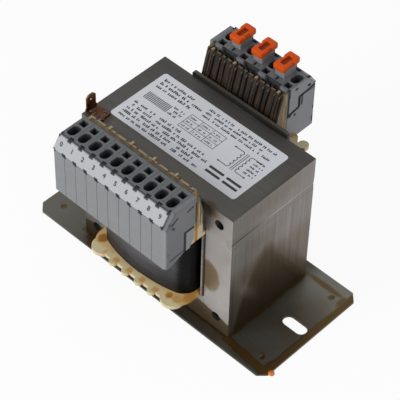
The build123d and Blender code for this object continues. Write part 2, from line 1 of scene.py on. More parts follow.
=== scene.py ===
"""A laminated transformer on a slotted base plate, dressed on the frame's own pieces.

The sections follow the order in which it is put together: base plate, sheets, weld seams, coil
former, coil, boards, terminal strips, leads, bridge plugs, earth blade, varnish drops, label.
The meshes are in metres; the finishes read places and sizes in millimetres.
"""
import math
import bmesh
import bpy
import numpy as np
from types import SimpleNamespace
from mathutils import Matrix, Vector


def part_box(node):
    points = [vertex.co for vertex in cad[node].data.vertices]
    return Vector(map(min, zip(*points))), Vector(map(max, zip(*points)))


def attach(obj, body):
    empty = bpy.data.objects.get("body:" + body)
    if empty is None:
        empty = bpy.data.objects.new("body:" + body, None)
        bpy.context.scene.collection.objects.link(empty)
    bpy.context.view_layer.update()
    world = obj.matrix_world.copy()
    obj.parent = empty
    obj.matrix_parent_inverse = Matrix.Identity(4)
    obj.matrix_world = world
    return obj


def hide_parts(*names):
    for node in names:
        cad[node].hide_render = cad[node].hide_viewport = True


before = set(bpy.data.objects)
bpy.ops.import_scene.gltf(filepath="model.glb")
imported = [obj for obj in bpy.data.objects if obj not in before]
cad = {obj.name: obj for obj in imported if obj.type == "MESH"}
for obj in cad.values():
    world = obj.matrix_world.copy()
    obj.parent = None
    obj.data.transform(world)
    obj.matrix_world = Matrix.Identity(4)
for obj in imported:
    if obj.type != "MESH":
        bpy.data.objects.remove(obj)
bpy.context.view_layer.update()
mm = 0.001


# Base plate: cold-rolled sheet steel, sheared, clipped at its corners and punched.
# The dip varnish has run down on it and dried brown along its rims and the core's foot.
def tint(red, green, blue):
    """A colour as it is seen, 0 to 255, in the linear values that a shader takes."""
    seen = np.array([red, green, blue]) / 255
    linear = np.where(seen > 0.04045, ((seen + 0.055) / 1.055) ** 2.4, seen / 12.92)
    return (*linear.tolist(), 1.0)


def add(kind, inputs=(), out=0, tree=None, **settings):
    """Adds a shader node to the given tree, or to that of the fields among its inputs.  inputs
    pairs a socket with a value or a field; out picks an output, and None gives all by name."""
    inputs = dict(inputs)
    tree = tree or next(value.tree for value in inputs.values() if isinstance(value, Field))
    made = tree.nodes.new("ShaderNode" + kind)
    for name, value in settings.items():
        setattr(made, name, value)
    for socket, value in inputs.items():
        if isinstance(value, Field):
            tree.links.new(value.socket, made.inputs[socket])
        else:
            made.inputs[socket].default_value = value
    if out is None:
        return {socket.name: Field(tree, socket) for socket in made.outputs}
    return Field(tree, made.outputs[out])


class Field:
    """What a node gives at every point of a surface.  Arithmetic on it adds Math nodes."""

    def __init__(self, tree, socket):
        self.tree = tree
        self.socket = socket

    def math(self, operation, *others):
        return add("Math", enumerate((self, *others)), operation=operation)

    def __add__(self, other):
        return self.math("ADD", other)

    def __sub__(self, other):
        return self.math("SUBTRACT", other)

    def __rsub__(self, other):
        return add("Math", {0: other, 1: self}, operation="SUBTRACT")

    def __mul__(self, other):
        return self.math("MULTIPLY", other)

    def __truediv__(self, other):
        return self.math("DIVIDE", other)

    def __abs__(self):
        return self.math("ABSOLUTE")


def most(first, *others):
    """The largest of several fields."""
    for other in others:
        first = first.math("MAXIMUM", other)
    return first


def split(vector):
    """The three coordinates of a vector, as x, y and z."""
    axes = add("SeparateXYZ", {0: vector}, out=None)
    return SimpleNamespace(x=axes["X"], y=axes["Y"], z=axes["Z"])


def in_mm(where):
    """The coordinates of a place in millimetres."""
    return split(add("VectorMath", {0: where, 1: (1 / mm,) * 3}, operation="MULTIPLY"))


def fade(value, start, end, low=0.0, high=1.0):
    """Smooth step: low before start, high after end."""
    ends = {"Value": value, "From Min": start, "From Max": end, "To Min": low, "To Max": high}
    return add("MapRange", ends, interpolation_type="SMOOTHSTEP")


def paint(amount, under, over, blend="MIX"):
    """One colour over another, as far as amount says: the Mix node's sockets 0, 6 and 7."""
    colours = {0: amount, 6: under, 7: over}
    return add("Mix", colours, out=2, data_type="RGBA", blend_type=blend)


def cloud(where, scale, detail=3.0):
    """Noise between 0 and 1; scale is a number, or one for each axis and finer where larger."""
    spot = add("VectorMath", {0: where, 1: np.ones(3) * scale}, operation="MULTIPLY")
    return add("TexNoise", {"Vector": spot, "Scale": 1.0, "Detail": detail})


def spaced(inputs):
    """The same inputs by their sockets' names: Some_Name stands for Some Name."""
    return {name.replace("_", " "): value for name, value in inputs.items()}


def shader_group(name, inputs):
    """A node group with these inputs: its tree, and a field for each of them."""
    tree = bpy.data.node_groups.new(name, "ShaderNodeTree")
    kinds = {1: "NodeSocketFloat", 3: "NodeSocketVector", 4: "NodeSocketColor"}
    for label, value in inputs.items():
        kind = kinds[np.size(value)]
        tree.interface.new_socket(label, in_out="INPUT", socket_type=kind).default_value = value
    sockets = tree.nodes.new("NodeGroupInput").outputs
    return tree, {label: Field(tree, sockets[label]) for label in inputs}


def close_group(tree, results):
    """Ends a node group in named outputs."""
    for label, field in results.items():
        kind = "NodeSocketColor" if field.socket.type == "RGBA" else "NodeSocketFloat"
        tree.interface.new_socket(label, in_out="OUTPUT", socket_type=kind)
    sockets = tree.nodes.new("NodeGroupOutput").inputs
    for label, field in results.items():
        tree.links.new(field.socket, sockets[label])
    return tree


def place(group, **inputs):
    """Puts a group where its inputs come from, and returns its outputs."""
    return add("Group", spaced(inputs), out=None, node_tree=group)


def new_finish(name):
    """An empty material, and in its tree the Object coordinates, the same as x, y and z in
    millimetres, and the normal as x, y and z."""
    made = bpy.data.materials.new(name)
    made.use_nodes = True
    made.node_tree.nodes.clear()
    ends = add("TexCoord", out=None, tree=made.node_tree)
    return made, ends["Object"], in_mm(ends["Object"]), split(ends["Normal"])


def close_finish(made, colour, roughness, height, relief, **sockets):
    """Ends a material in one Principled surface; relief is the depth of its bumps."""
    bump = add("Bump", {"Height": height, "Distance": relief * mm})
    sockets = {"Base Color": colour, "Roughness": roughness, "Normal": bump} | spaced(sockets)
    add("OutputMaterial", {"Surface": add("BsdfPrincipled", sockets)}, out=None)
    return made


def dress(material, *names):
    for name in names:
        cad[name].data.materials.clear()
        cad[name].data.materials.append(material)


def make_blot_group():
    """Mask of a ragged spot: 1 where the distance from Centre, in units of Reach, is under 1."""
    inputs = {"Vector": (0, 0, 0), "Centre": (0, 0, 0), "Reach": (1, 1, 1), "Ragged": 0.4, "Soft": 0.25}
    tree, given = shader_group("Blot", inputs)
    offset = add("VectorMath", {0: given["Vector"], 1: given["Centre"]}, operation="SUBTRACT")
    share = add("VectorMath", {0: offset, 1: given["Reach"]}, operation="DIVIDE")
    away = add("VectorMath", {0: share}, out="Value", operation="LENGTH")
    shift = (cloud(given["Vector"], 300) - 0.5) * given["Ragged"]
    return close_group(tree, {"Mask": fade(away + shift, 1.0, 1.0 - given["Soft"])})


def make_varnish_group():
    """Varnish over a surface: a thin coat tints it amber, a thick one turns it dark brown."""
    inputs = {"Surface": (0.5, 0.5, 0.5, 1), "Surface Roughness": 0.5, "Amount": 0.0}
    inputs |= {"Thin": tint(196, 168, 112), "Thick": tint(60, 44, 26)}
    tree, given = shader_group("Varnish", inputs)
    amount, rough = given["Amount"], given["Surface Roughness"]
    amber = paint(fade(amount, 0.0, 0.55) * 0.85, given["Surface"], given["Thin"], "MULTIPLY")
    colour = paint(fade(amount, 0.45, 1.0) * 0.9, amber, given["Thick"])
    wetter = most((rough - 0.3) * fade(amount, 0.0, 0.8), 0.0) * 0.8
    height = fade(amount, 0.2, 0.7)
    return close_group(tree, {"Color": colour, "Roughness": rough - wetter, "Height": height})


blot_group = make_blot_group()
varnish_group = make_varnish_group()


def blots(where, spots, **edge):
    """The strongest of several blots; each spot is (centre, reach, strength) in millimetres."""
    masks = []
    for centre, reach, strength in spots:
        centre = tuple(np.array(centre) * mm)
        reach = tuple(np.array(reach) * mm)
        blot = place(blot_group, Vector=where, Centre=centre, Reach=reach, **edge)
        masks.append(blot["Mask"] * strength)
    return most(*masks)


def make_plate_steel():
    made, where, at, _ = new_finish("plate_steel")
    streaks = cloud(where, (40, 900, 900))
    bare = paint(streaks, tint(64, 63, 57), tint(82, 80, 72))
    bare = paint(fade(cloud(where, 55), 0.35, 0.7), bare, tint(70, 66, 56))
    # The sheet is paler towards its back edge and at its left end
    to_back = fade(at.y, -4, 34) * fade(at.x, 50, 60) * 0.74
    to_left = fade(at.x, -40, -78, 0.0, 0.36)
    bare = paint(most(to_back, to_left), bare, tint(122, 121, 114))
    # Brown round the core's foot and along the right edge
    ragged = cloud(where, 160, 4.0) * 3
    core_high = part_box("core_e")[1] / mm
    off_core = most(abs(at.x) - core_high.x, abs(at.y) - core_high.y)
    foot = fade(off_core - ragged, 1.6, -1.6, 0.0, 0.76)
    edge_band = fade(at.x + ragged * 0.8, 79.8, 82.4, 0.0, 0.85)
    # A run of varnish from the core's corner to the plate's, along the front edge
    lane = at.y + at.x * 0.085 + 26.2 + ragged * 0.5
    run = fade(abs(lane), 3.1, 1.6, 0.0, 0.92) * fade(at.x, 50, 53)
    spots = [
        ((66, 31.0, 1.5), (17, 2.6, 9), 0.66),
        ((80, 28.5, 1.5), (4, 7, 9), 0.6),
        ((81, -29, 1.5), (3.5, 7, 9), 0.7),
        ((-4, -31, 1.5), (44, 3, 9), 0.4),
        ((72, 8, 1.5), (16, 30, 9), 0.25),
        ((-45.2, -31.6, 1.5), (4.8, 4.8, 9), 1.0),
        ((-43, -35.5, 1.5), (4, 4, 9), 0.9),
        ((10, 32, 1.5), (50, 3, 9), 0.6),
        ((-70, 24, 1.5), (8, 5, 9), 0.4),
    ]
    # Brown spots at the four punched dimples: varnish in them, and painted shade
    corners = [(73.2 * side, 27 * end, 1.5) for side in (-1, 1) for end in (-1, 1)]
    dimples = [(corner, (2.2, 2.4, 9), 0.75) for corner in corners]
    stains_and_dimple_shade = most(blots(where, spots, Soft=0.7), blots(where, dimples, Soft=0.5))
    coat = place(
        varnish_group, Surface=bare, Surface_Roughness=0.44, Amount=most(edge_band, foot, run, stains_and_dimple_shade),
        Thin=tint(204, 168, 92), Thick=tint(80, 56, 17),
    )
    height = streaks * 0.3 + coat["Height"]
    return close_finish(made, coat["Color"], coat["Roughness"], height, 0.05, Metallic=0.72)


dress(make_plate_steel(), "base_plate")


# E and I sheets: silicon steel half a millimetre thick, stacked along Y and dipped in varnish.
# Painted light: the sheet faces are bright and the top dark; the stacked edges show fine lines,
# and the foot is stained brown.
def make_edge_group():
    """Edges of a stack along Y: fine noise at the sheet's pitch, slower noise for loose sheets."""
    tree, given = shader_group("Sheet edges", {"Vector": (0, 0, 0), "Fine": 0.5, "Coarse": 0.5})
    fine = cloud(given["Vector"], (10, 1900, 10), 2.0)
    coarse = cloud(given["Vector"], (14, 430, 14), 2.0)
    shade = (fine - 0.5) * given["Fine"] + (coarse - 0.5) * given["Coarse"] + 1.0
    return close_group(tree, {"Shade": shade, "Height": fine * 0.7 + coarse})


edge_group = make_edge_group()


def toned(colour, tone):
    """A colour multiplied by a grey tone."""
    return paint(1.0, colour, add("CombineColor", {0: tone, 1: tone, 2: tone}), "MULTIPLY")


def mound(at):
    """Height above the varnish stain on the right side: positive outside it.  Its upper limit is
    55 mm less 1.6 (y + 1.3) behind its peak and less 0.075 (y + 1.3)^2 in front of it."""
    along = at.y + 1.3
    before = along.math("MINIMUM", 0.0)
    drop = most(along, 0.0) * 1.6 + before * before * 0.075
    return at.z - 55 + drop


def make_stack_steel(name, fine, coarse, soft_spots, hard_spots):
    """Sheet steel: each way a face turns has its own painted shade, and its lines run across the stack."""
    made, where, at, facing = new_finish(name)
    is_side = fade(abs(facing.x), 0.5, 0.8)
    is_sheet = fade(abs(facing.y), 0.5, 0.8)
    edges = place(edge_group, Vector=where, Fine=fine, Coarse=coarse)
    # Painted light and shade by the way a face turns: the sides mid grey and paler towards the back, the
    # top dark and darker towards the back
    lit_side = paint(fade(at.y, -28, 18), tint(116, 111, 105), tint(138, 132, 128))
    shaded_top = paint(fade(at.y, -6, 28), tint(80, 78, 74), tint(68, 67, 64))
    bare = toned(paint(is_side, shaded_top, lit_side), edges["Shade"])
    # The sheet faces are painted bright, a painted reflection, with a slow mottle
    mottle = cloud(where, 70, 4.0)
    sheet = paint(fade(mottle, 0.3, 0.75), tint(176, 171, 168), tint(162, 157, 153))
    # Sheet faces left of x = -30 mm are painted darker: the painted shadow of the terminal strip
    sheet = paint(fade(at.x, -30, -44, 0.0, 0.8), sheet, tint(78, 73, 68))
    bare = paint(is_sheet, bare, sheet)
    # Right side: a mound of brown varnish with a streaky upper limit, and a film at its left
    grain = cloud(where, (60, 900, 60))
    above = mound(at) + (grain - 0.5) * 11
    heap = fade(above, 7, -13, 0.0, 0.8) * fade(at.z, 40, 8, 0.82, 1.12)
    # The film is left off round a spot low on the right side: a painted highlight
    glint = blots(where, [((52.5, -18.7, 29.7), (10, 4.5, 5), 1.0)], Soft=0.9)
    film = fade(at.z, 58, 38, 0.0, 0.34) * (1.0 - glint)
    side_stain = most(heap, film) * is_side
    # Dip line on the sheet faces: the varnish stood a little higher towards the core's middle
    drips = cloud(where, (300, 60, 60)) * 3
    level = at.z + abs(at.x) * 0.2 - 21.6 + drips
    dipped = fade(level, 1.2, 0.2, 0.0, 0.75) * is_sheet
    soft_stain = blots(where, soft_spots, Soft=0.85)
    hard_stain = blots(where, hard_spots, Soft=0.3, Ragged=0.25)
    coat = place(
        varnish_group, Surface=bare, Surface_Roughness=0.42,
        Amount=most(side_stain, dipped, soft_stain, hard_stain), Thin=tint(184, 166, 118),
    )
    height = paint(is_sheet, edges["Height"], mottle)
    return close_finish(made, coat["Color"], coat["Roughness"], height, 0.06, Metallic=0.7)


lower_spots = [
    ((-52.5, 3, 0), (8, 30, 34), 0.7),
    ((0, 0, 8), (60, 31, 3), 0.4),
    ((-44.4, -30, 3), (4.6, 3, 7), 1.0),
    ((52.5, -6, 60), (5, 26, 14), 0.24),
]
lower_marks = [((38, -30, 38), (8.4, 3, 12.8), 0.54), ((-41, 30, 30), (8, 3, 15), 0.5)]
upper_spots = [
    ((36.5, -31, 87), (8.5, 6.5, 9), 0.62),
    ((-38, -31, 86), (9, 6, 9), 0.7),
    ((20, 31, 88), (16, 4, 5), 0.5),
    ((-44, -24, 89), (9, 7, 4), 0.62),
    ((52.5, 0, 84), (5, 40, 14), 0.27),
]
upper_marks = [((38.4, -30, 70.9), (4.2, 1, 0.45), 1.0)]
dress(make_stack_steel("stack_steel_e", 0.85, 1.05, lower_spots, lower_marks), "core_e")
dress(make_stack_steel("stack_steel_i", 0.4, 0.4, upper_spots, upper_marks), "core_i")


# Weld seams: one run of weld on each side of the core closes the joint between E and I sheets.
# The bead lies a little under the surface, with crescent ripples and a crease along its middle.
def hang(name, mesh, material):
    """Puts a mesh into the scene as a piece of the one body."""
    mesh.materials.append(material)
    piece = bpy.data.objects.new(name, mesh)
    bpy.context.collection.objects.link(piece)
    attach(piece, "root")
    return piece


def skin(name, rings, material, smooth=30.0):
    """Closed bodies from rings of points, shaped (bodies, along, around, 3), with capped ends."""
    bodies, along, around, _ = rings.shape
    index = np.arange(bodies * along * around).reshape(bodies, along, around)
    ahead = np.roll(index, -1, axis=2)
    sides = np.stack([index[:, :-1], ahead[:, :-1], ahead[:, 1:], index[:, 1:]], axis=-1)
    caps = np.concatenate([index[:, 0, ::-1], index[:, -1]])
    faces = sides.reshape(-1, 4).tolist() + caps.tolist()
    mesh = bpy.data.meshes.new(name)
    mesh.from_pydata(rings.reshape(-1, 3).tolist(), [], faces)
    shell = bmesh.new()
    shell.from_mesh(mesh)
    bmesh.ops.recalc_face_normals(shell, faces=shell.faces)
    shell.to_mesh(mesh)
    shell.free()
    mesh.shade_smooth()
    mesh.set_sharp_from_angle(angle=math.radians(smooth))
    return hang(name, mesh, material)


def weld_rings(side, stations=260, across=26):
    """Bead across t from -1 to 1 and along y: hollow a(1 - t^2), crease exp(-(t/c)^2) and
    ripples sin(y/p + b t^2), closed behind by the half round of its groove."""
    low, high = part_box("joint_welds")
    radius = (high.z - low.z) / 2 - 0.03 * mm
    middle = (high.z + low.z) / 2
    y = np.linspace(low.y + 0.05 * mm, high.y - 0.05 * mm, stations)[:, None]
    t = np.linspace(-1, 1, across)[None, :]
    ripple = 0.02 * mm * np.sin(y / (0.21 * mm) + 2.4 * t**2) * (1 - t**4)
    wander = 0.05 * np.sin(y / (5.2 * mm)) + 0.03 * np.sin(y / (1.9 * mm) + 1)
    crease = 0.25 * mm * np.exp(-(((t - wander) / 0.09) ** 2))
    sunk = 0.03 * mm + 0.09 * mm * (1 - t**2) + crease - ripple
    face = np.stack(np.broadcast_arrays(side * (high.x - sunk), y, middle + radius * t), axis=-1)
    turn = np.linspace(math.pi / 2, -math.pi / 2, across + 2)[None, 1:-1]
    back_x = side * (high.x - 0.3 * mm - (radius - 0.3 * mm) * np.cos(turn))
    back = np.stack(np.broadcast_arrays(back_x, y, middle + radius * np.sin(turn)), axis=-1)
    return np.concatenate([face, back], axis=1)


def make_weld_metal():
    """Dressed flush with the sheets and dipped with them, so it takes their tone and lines."""
    made, where, at, _ = new_finish("weld_metal")
    edges = place(edge_group, Vector=where, Fine=0.3, Coarse=0.35)
    # The sides take the sheets' painted shade, paler towards the back
    bead = paint(fade(at.y, -28, 18), tint(112, 107, 101), tint(136, 130, 126))
    bead = toned(bead, edges["Shade"])
    # Painted light along the crease: a painted highlight towards the back, painted shade towards the front
    joint_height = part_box("core_e")[1].z / mm
    crease = fade(abs(at.z - joint_height), 0.7, 0.15, 0.0, 0.9)
    crease_light_and_shade = paint(fade(at.y, -16, 0), tint(70, 66, 62), tint(172, 162, 150))
    bead = paint(crease, bead, crease_light_and_shade)
    # Its ends take the sheet faces' painted bright tone
    bead = paint(fade(abs(at.y), 29.8, 29.95), bead, tint(160, 155, 151))
    return close_finish(made, bead, 0.42, edges["Height"], 0.04, Metallic=0.7)


weld_rows = np.stack([weld_rings(-1), weld_rings(1)])
weld_beads = skin("weld_beads", weld_rows, make_weld_metal())
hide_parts("joint_welds")


# Coil former: glass-filled plastic moulded in one piece, cream where clean.
# Varnish has pooled amber at its lobes and feet and soaked the walls behind the leads brown.
def make_grain_group():
    """Moulded skin: slow mottling of the tone and a fine spark-eroded grain."""
    tree, given = shader_group("Moulded skin", {"Vector": (0, 0, 0), "Mottle": 0.1})
    slow = cloud(given["Vector"], 130)
    fine = cloud(given["Vector"], 2600, 2.0)
    tone = (slow - 0.5) * given["Mottle"] + 1.0
    return close_group(tree, {"Tone": tone, "Height": fine + slow * 2.0})


grain_group = make_grain_group()


def make_former_plastic():
    made, where, at, facing = new_finish("former_plastic")
    moulded = place(grain_group, Vector=where, Mottle=0.3)
    cream = toned(tint(209, 198, 160), moulded["Tone"])
    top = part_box("bobbin")[1].z / mm
    out = abs(at.y)
    wide = abs(at.x)
    ragged = cloud(where, 210, 4.0)
    in_front = fade(at.y, 1, -1)
    on_cheek = fade(abs(facing.x), 0.6, 0.9)
    # Lower flange: a soft pool at every neck and corner, a film next to the coil
    lobe_pitch = 9.3
    is_low = fade(at.z, 30, 24)
    wave = ((at.x - 6.4) * (2 * math.pi / lobe_pitch)).math("COSINE") + (ragged - 0.5) * 1.6
    drop = fade(wave, -0.5, 1.0) * fade(abs(out - 45.8), 3.6, 0.6)
    drop = drop * fade(wide, 24, 20, 0.0, 0.42)
    film = fade(out + ragged * 5, 49, 43.5, 0.1, 0.32)
    pools = [
        ((-28, -40, 21), (4.5, 5, 5), 0.8),
        ((23.5, -43.5, 21), (3, 3.2, 5), 0.7),
        ((31.5, -37, 21), (4.5, 7, 5), 0.62),
        ((33, -29, 21), (3, 5, 5), 0.75),
        ((28.5, -42.5, 21), (5, 4, 5), 0.42),
        ((-26, 43, 21), (6, 4, 5), 0.6),
        ((30, 41, 21), (5, 6, 5), 0.55),
    ]
    low_stain = most(drop, film, blots(where, pools, Soft=0.6, Ragged=0.5)) * is_low
    # Carriers: brown behind the leads, tan along the crests, amber at the feet
    inward = facing.y * at.y.math("SIGN")
    streak = cloud(where, (900, 30, 30))
    soaked = fade(inward, -0.35, -0.75) * fade(out, 32.5, 33.2)
    soaked = soaked * fade(streak, 0.25, 0.6, 0.86, 1.05)
    crest = fade(at.z, top - 4.5, top - 3) * fade(at.y, -1, 1, 0.22, 0.36)
    crest = crest * fade(at.z, top - 0.9, top - 0.3, 1.0, 0.45)
    crest = crest * fade(ragged, 0.3, 0.6, 0.8, 1.1)
    foot = fade(at.z, 80, 71) * fade(at.z, 60, 68)
    foot = foot * fade(ragged, 0.38, 0.62, 0.1, 0.5) * fade(wide, 29, 26, 0.2, 1.0)
    off_vein = abs(out - (ragged * 1.2 + 37.6))
    vein = fade(off_vein, 1.5, 0.4, 0.12, 0.6) * on_cheek * fade(at.z, 66, 70)
    coat = place(
        varnish_group, Surface=cream, Surface_Roughness=0.48,
        Amount=most(low_stain, soaked, foot, crest, vein),
        Thin=tint(222, 162, 42), Thick=paint(is_low, tint(62, 50, 40), tint(116, 66, 14)),
    )
    # Walls and their ribs are soaked right through; only rib tops and rims stay light, partly a painted
    # highlight
    is_wall = fade(out, 31, 32) * fade(at.z, 76, 80)
    tip = fade(at.z + in_front * 0.4, top - 0.9, top - 0.45)
    rim = fade(out, 38.9, 38.5) * fade(facing.z, 0.75, 0.9) * in_front
    streaked = fade(cloud(where, (60, 700, 45)), 0.5, 0.62, 0.05, 0.8)
    streaked = streaked * fade(in_front, 0.0, 1.0, 0.75, 1.1)
    unsoaked_and_highlit = most(tip * 0.33, rim * 0.3, on_cheek * streaked)
    brown = paint(fade(streak, 0.45, 0.7), tint(30, 22, 16), tint(66, 50, 36))
    # A lighter brown on faces turned up, painted light, and on the cheeks and the front walls
    light = most(fade(facing.z, 0.5, 0.8), on_cheek, in_front)
    brown = paint(light, brown, paint(in_front, tint(84, 70, 52), tint(98, 82, 60)))
    colour = paint(is_wall * (1.0 - unsoaked_and_highlit) * 0.92, coat["Color"], brown)
    return close_finish(
        made, colour, coat["Roughness"], moulded["Height"], 0.02, Specular_IOR_Level=0.27,
        Subsurface_Weight=0.1, Subsurface_Radius=(0.002, 0.0015, 0.0008),
    )


dress(make_former_plastic(), "bobbin")


# Coil: two copper windings with paper between them, closed by black polyester tape.
# The tape is wound in laps that climb slowly, so each edge makes a low step round the coil.
def round_corners(corners, radius, steps, closed=True):
    """Points along a path whose corners are turned by quarter ellipses: at angle a the point is
    corner + (1 - sin a) * inwards + (1 - cos a) * outwards."""
    corners = np.asarray(corners, float)
    before = corners - np.roll(corners, 1, axis=0)
    after = np.roll(corners, -1, axis=0) - corners
    before = before / np.linalg.norm(before, axis=1, keepdims=True)
    after = after / np.linalg.norm(after, axis=1, keepdims=True)
    turn = np.linspace(0, math.pi / 2, steps)[None, :, None]
    reach = np.broadcast_to(np.asarray(radius, float), len(corners))[:, None, None]
    bend = corners[:, None] - reach * (1 - np.sin(turn)) * before[:, None]
    bend = bend + reach * (1 - np.cos(turn)) * after[:, None]
    if closed:
        return bend.reshape(-1, corners.shape[1])
    return np.concatenate([corners[:1], bend[1:-1].reshape(-1, corners.shape[1]), corners[-1:]])


def even(outline, count):
    """The same closed outline with points at even distances."""
    loop = np.vstack([outline, outline[:1]])
    run = np.concatenate([[0], np.cumsum(np.linalg.norm(np.diff(loop, axis=0), axis=1))])
    at = np.linspace(0, run[-1], count, endpoint=False)
    return np.stack([np.interp(at, run, loop[:, k]) for k in range(2)], axis=1)


def bowed_outline(half_x, crest, corner_y, corner, count):
    """Outline of a wound coil at height 0.  With the normal at angle a, the front is the arc
    R (sin a, cos a) - (0, R - crest) up to its corner, which is turned by an arc of its own."""
    sag = crest - corner_y
    radius = (half_x**2 + sag**2) / (2 * sag)
    last = math.asin((half_x - corner) / (radius - corner))
    corner_centre = (radius - corner) * math.cos(last) - (radius - crest)
    angle = np.linspace(-math.pi, math.pi, 1441)[:-1]
    sine, cosine = np.abs(np.sin(angle)), np.abs(np.cos(angle))
    on_arc = sine < math.sin(last)
    x = np.where(on_arc, radius * sine, half_x - corner + corner * sine)
    y = np.where(on_arc, radius * cosine - radius + crest, corner_centre + corner * cosine)
    signs = [np.sign(np.sin(angle)), np.sign(np.cos(angle))]
    return even(np.column_stack([x * signs[0], y * signs[1]]), count)


def tape_rings(around=300, levels=150):
    """Bowed outline carried up z; the wall moves in by lap * frac(z/w + s/one turn), a saw that
    climbs one tape width per turn, and bulges a little at mid height."""
    low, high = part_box("outer_tape")
    outline = bowed_outline(high.x, high.y, high.y - 5.8 * mm, 10 * mm, around)
    run = np.roll(outline, -1, axis=0) - np.roll(outline, 1, axis=0)
    out = np.column_stack([run[:, 1], -run[:, 0]])
    out = out / np.linalg.norm(out, axis=1, keepdims=True)
    out = out * np.sign((out * outline).sum(axis=1, keepdims=True))
    z = np.linspace(low.z, high.z, levels)[:, None]
    share = np.linspace(0, 1, around, endpoint=False)[None, :]
    sway = 0.05 * np.sin(2 * math.pi * share * 3) + 0.03 * np.sin(2 * math.pi * share * 7 + 1)
    lap = np.mod((z - low.z) / (8.5 * mm) + share + sway, 1.0)
    height = (z - low.z) / (high.z - low.z)
    moved = 0.03 * mm + 0.22 * mm * lap + 0.25 * mm * (2 * height - 1) ** 2
    ring = outline[None] - moved[..., None] * out[None]
    return np.concatenate([ring, np.broadcast_to(z[..., None], ring[..., :1].shape)], axis=-1)[None]


def make_tape_film():
    """Black film: a painted grey sheen, a painted reflection, over the middle of the front, black where it
    turns to the sides.
    """
    made, where, at, facing = new_finish("tape_film")
    creases = cloud(where, (50, 50, 700))
    patches = cloud(where, 45)
    # Painted reflection: grey on faces turned to the front, none where they turn to the sides
    turned = fade(abs(facing.x), 0.62, 0.05)
    sheen = turned * fade(at.z, 22, 44, 0.3, 1.0)
    sheen = sheen * fade(patches, 0.2, 0.7, 0.75, 1.1) * fade(creases, 0.3, 0.7, 0.8, 1.15)
    colour = paint(sheen, tint(4, 4, 5), tint(86, 85, 87))
    # Dark brown at the coil's foot: varnish pooled there, and the painted shadow where the coil meets the
    # flange
    pooled_and_shaded = fade(at.z, 23.2, 21.9, 0.0, 0.85)
    colour = paint(pooled_and_shaded, colour, tint(20, 13, 8))
    rough = fade(patches, 0.3, 0.7, 0.32, 0.46)
    return close_finish(made, colour, rough, creases, 0.05, Specular_IOR_Level=0.1)


outer_tape = skin("tape_laps", tape_rings(), make_tape_film(), 25.0)
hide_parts("outer_tape")


def make_plain(name, first, second, roughness, grain=240, **sockets):
    """A finish of two close tones that change with noise, which also raises the surface."""
    made, where, *_ = new_finish(name)
    change = cloud(where, grain)
    colour = paint(change, first, second)
    return close_finish(made, colour, roughness, change, 0.02, **sockets)


enamel = make_plain(
    "enamelled_copper", tint(92, 52, 34), tint(138, 84, 48), 0.32, (240, 240, 24),
    Metallic=0.55, Coat_Weight=0.4,
)
dress(enamel, "primary_winding", "secondary_winding")
dress(make_plain("insulating_paper", tint(206, 192, 150), tint(188, 170, 122), 0.7), "interlayer")


# Slot liners and barrier strips: insulating board cut to size, grey beside the limbs and
# painted nearly black, as shade, between the yoke and the leads, glued in by the varnish.
def make_board(name, face, worn, edge, pale_ends):
    """Pressed board: fibres along it, and varnish that has crept in from its edges.  Its top is
    in the tone of a cut edge, and so are its upright ends where pale_ends is 1."""
    made, where, _, facing = new_finish(name)
    fibres = cloud(where, (500, 90, 90))
    cut_edge = fade(most(facing.z, abs(facing.y) * pale_ends), 0.5, 0.9)
    colour = paint(cut_edge, paint(fibres, face, worn), edge)
    creep = fade(cloud(where, 90), 0.5, 0.75, 0.0, 0.4)
    coat = place(varnish_group, Surface=colour, Surface_Roughness=0.5, Amount=creep)
    return close_finish(made, coat["Color"], coat["Roughness"], fibres, 0.03)


pressboard = make_board("pressboard", tint(70, 66, 60), tint(96, 92, 86), tint(140, 134, 124), 1.0)
# The barrier's face is painted nearly black, the shade in the gap between yoke and leads, and its top
# paler, partly a painted highlight
barrier_board = make_board("barrier_board", tint(12, 10, 8), tint(20, 17, 14), tint(58, 52, 45), 0.0)
dress(pressboard, "liner_left", "liner_right")
dress(barrier_board, "front_barrier", "rear_barrier")


# Terminal strips: grey discs of moulded polyamide clipped side by side, an end plate on the
# open side of the last one, and a paler marker strip pressed on their slanted noses.
# The four sizes that its finishes share are in millimetres.
strip_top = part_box("front_pole_1")[1].z / mm
disc_pitch = 7.5
front_middle = disc_pitch / 2
rear_middle = -disc_pitch / 2


def off_grid(x, first, pitch=disc_pitch):
    """Distance along X from the nearest of the places first, first + pitch and so on, as
    pitch/pi |sin(pi (x - first) / pitch)|, which is nearly exact close to each of them."""
    turn = (x - first) * (math.pi / pitch)
    return abs(turn.math("SINE")) * (pitch / math.pi)


def at_seam(x, middle):
    """Mask of a narrow band over every seam of a strip; middle is the middle of one disc."""
    return fade(off_grid(x, middle + disc_pitch / 2), 1.45, 1.15)


def strip_shadows(at, facing, middle):
    """Mask of painted shade on a strip: in its entries, on the face under its marker, and in notches."""
    out = abs(at.y)
    down = strip_top - at.z
    # Entries: painted shade on their walls within a millimetre and a half below the top
    inside = fade(off_grid(at.x, middle), 2.25, 2.1)
    inside = inside * fade(down, 0.1, 1.5, 0.0, 0.8)
    inside = inside * fade(abs(out - 50), 7.2, 7)
    # Marker: painted shade on the slanted face under it, and in a notch at every seam above and below it
    slanted = fade(facing.z, 0.35, 0.45) * fade(facing.z, 0.75, 0.65)
    slanted = slanted * fade(out, 56, 57, 0.0, 0.8)
    at_top = fade(out, 56.2, 56.6) * fade(down, 0.5, 0.1)
    at_front = fade(down, 9.2, 8.7) * fade(out, 62.3, 62.6)
    return most(inside, slanted, most(at_top, at_front) * at_seam(at.x, middle))


